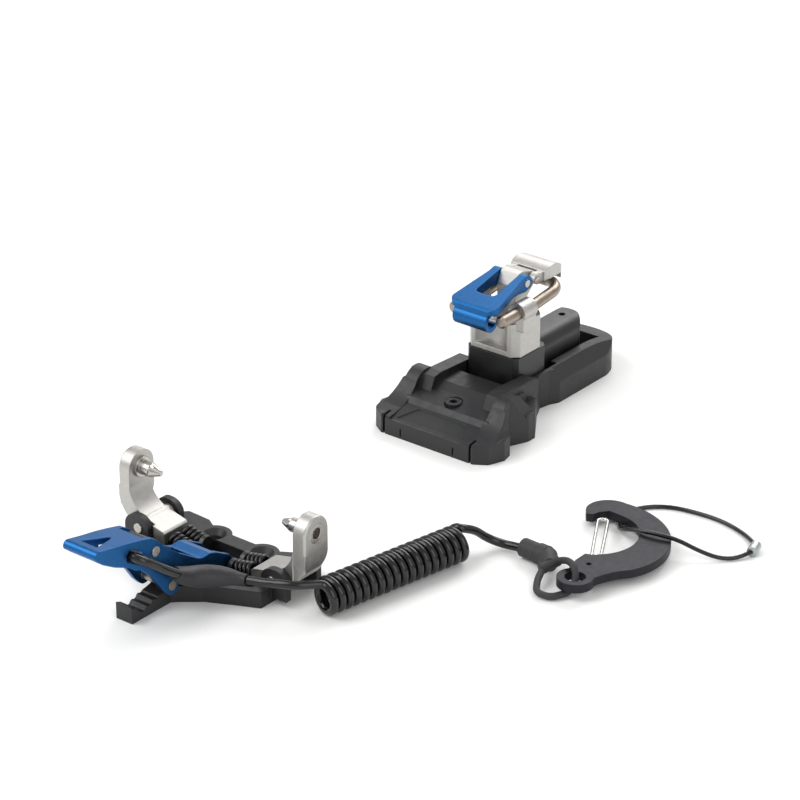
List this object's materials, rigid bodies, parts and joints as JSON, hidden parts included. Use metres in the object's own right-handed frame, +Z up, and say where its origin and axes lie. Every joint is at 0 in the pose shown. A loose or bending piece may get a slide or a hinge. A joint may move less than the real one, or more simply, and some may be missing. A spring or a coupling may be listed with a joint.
{
  "type": "ski touring binding",
  "caption": "Pin-style ski touring binding: sprung toe unit with locking lever, turning heel unit with fork and climbing aids, and a coiled safety leash with carabiner.",
  "frame": {"origin": "on the binding's centre line, on the ski's top face, below the axis of the two boot pins", "axes": "+Z up from the ski, -Y towards the ski's tip, +X to the side the leash lies on"},
  "size_m": [0.1783, 0.2816, 0.0526],
  "materials": {
    "black_nylon": "glass-filled nylon, fine grain",
    "dark_nylon": "glass-filled nylon, smoother",
    "blue_anodised": "blue anodised, satin",
    "silver_aluminium": "bead-blasted, clear anodised",
    "bright_steel": "ground pin",
    "warm_steel": "satin heat-treated steel",
    "black_spring": "black-coated spring wire",
    "black_cord": "glossy coated cord",
    "shrink_sleeve": "matte shrink sleeve",
    "grey_rubber": "moulded rubber",
    "black_anodised": "matte black anodised",
    "wire_steel": "bright spring wire",
    "crimp_aluminium": "pressed sleeve"
  },
  "bodies": {
    "toe_frame": {"toe_base": "black_nylon", "lever_post": "dark_nylon", "wing_hinge_pin_right": "bright_steel", "wing_hinge_pin_left": "bright_steel", "heel_base": "black_nylon", "heel_base_screw": "black_anodised", "leash_lead_in": "black_cord", "leash_coil": "black_cord", "leash_lead_out": "black_cord", "leash_connector": "grey_rubber", "carabiner_body": "black_anodised", "wire_loop": "black_cord", "wire_crimp": "crimp_aluminium"},
    "lever": {"toe_lever": "blue_anodised", "lever_pivot_rivet": "bright_steel", "lever_cross_pin": "warm_steel", "leash_loop": "black_cord", "leash_sleeve": "shrink_sleeve"},
    "right_wing": {"wing_right": "silver_aluminium", "boot_pin_right": "bright_steel", "spring_seat_right": "dark_nylon", "toe_spring_front_right": "black_spring", "toe_spring_rear_right": "black_spring"},
    "left_wing": {"wing_left": "silver_aluminium", "boot_pin_left": "bright_steel", "spring_seat_left": "dark_nylon", "toe_spring_front_left": "black_spring", "toe_spring_rear_left": "black_spring"},
    "heel_carriage": {"heel_plinth": "dark_nylon", "heel_tube_housing": "dark_nylon", "heel_adjust_screw": "bright_steel", "heel_release_spring": "black_spring", "turret_post": "dark_nylon"},
    "heel_turret": {"turret_housing": "silver_aluminium", "heel_fork": "warm_steel", "riser_hinge_block": "silver_aluminium", "front_riser_pin": "bright_steel", "rear_riser_pin": "bright_steel"},
    "front_climbing_aid": {"front_riser": "blue_anodised"},
    "rear_climbing_aid": {"rear_riser": "silver_aluminium"},
    "gate": {"carabiner_gate": "wire_steel"}
  },
  "joints": [
    {"name": "lever_press", "type": "hinge", "parent": "toe_frame", "child": "lever", "pos_m": [0, -0.04, 0.0244], "axis": [1, 0, 0], "range_deg": [0, 10], "deforming": ["leash_lead_in"]},
    {"name": "right_wing_open", "type": "hinge", "parent": "toe_frame", "child": "right_wing", "pos_m": [0.0295, 0, 0.008], "axis": [0, 1, 0], "range_deg": [0, 15.5]},
    {"name": "left_wing_open", "type": "hinge", "parent": "toe_frame", "child": "left_wing", "pos_m": [-0.0295, 0, 0.008], "axis": [0, -1, 0], "range_deg": [0, 15.5]},
    {"name": "heel_elastic_travel", "type": "slide", "parent": "toe_frame", "child": "heel_carriage", "axis": [0, 1, 0], "range_m": [0, 0.005], "stiffness_N_per_m": 2000},
    {"name": "turret_turn", "type": "hinge", "parent": "heel_carriage", "child": "heel_turret", "pos_m": [0, 0.1565, 0.03], "axis": [0, 0, 1], "range_deg": [-90, 90]},
    {"name": "front_aid_lift", "type": "hinge", "parent": "heel_turret", "child": "front_climbing_aid", "pos_m": [0, 0.1595, 0.0494], "axis": [-1, 0, 0], "range_deg": [0, 95]},
    {"name": "rear_aid_lift", "type": "hinge", "parent": "heel_turret", "child": "rear_climbing_aid", "pos_m": [0, 0.1663, 0.0482], "axis": [1, 0, 0], "range_deg": [0, 60]},
    {"name": "gate_press", "type": "hinge", "parent": "toe_frame", "child": "gate", "pos_m": [0.0989, 0.0755, 0.00428], "axis": [0, 0.0279, 0.9996], "range_deg": [-7, 0], "stiffness_Nm_per_rad": 0.05}
  ],
  "couplings": [
    {"joint": "right_wing_open", "follows": "lever_press", "ratio": 1.55},
    {"joint": "left_wing_open", "follows": "lever_press", "ratio": 1.55}
  ]
}
